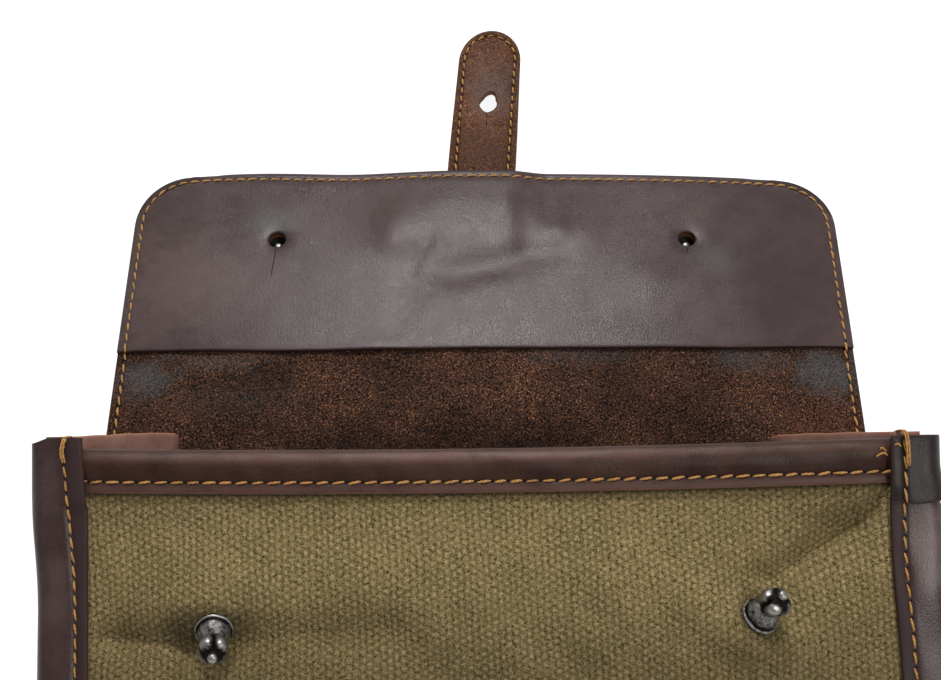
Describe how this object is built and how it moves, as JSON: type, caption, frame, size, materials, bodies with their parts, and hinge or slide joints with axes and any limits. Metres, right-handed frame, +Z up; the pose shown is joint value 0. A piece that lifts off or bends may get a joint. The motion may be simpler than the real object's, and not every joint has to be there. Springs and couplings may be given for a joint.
{
  "type": "attache pouch",
  "caption": "Leather and canvas attache pouch lying on its back with the flap laid open: keyhole tab, faced flap, inward-folded side gussets and cast lobed studs on the front.",
  "frame": {"origin": "middle of the part's bounding box, on the surface that the back lies on", "axes": "+Z up from the surface, +Y from the bottom seam to the tab's tip, +X to the right of the front"},
  "size_m": [0.2644, 0.3761, 0.0923],
  "materials": {
    "suede_leather": "dark red-brown suede side",
    "facing_leather": "smooth dark purple-brown, soft sheen",
    "canvas": "coarse olive plain weave",
    "trim_leather": "smooth dark brown",
    "gusset_leather": "smooth reddish brown",
    "cast_metal": "antique silver, dark in the recesses"
  },
  "bodies": {
    "root": {"back_and_flap": "suede_leather", "flap_facing": "facing_leather", "closing_tab": "suede_leather", "front_panel": "canvas", "front_hem": "trim_leather", "binding_left": "trim_leather", "binding_right": "trim_leather", "binding_end_right": "trim_leather", "binding_bottom": "trim_leather", "gusset_left": "gusset_leather", "gusset_right": "gusset_leather", "stud_left": "cast_metal", "stud_right": "cast_metal", "stud_tab": "cast_metal", "flap_cap_left": "cast_metal", "flap_cap_right": "cast_metal"}
  },
  "joints": []
}
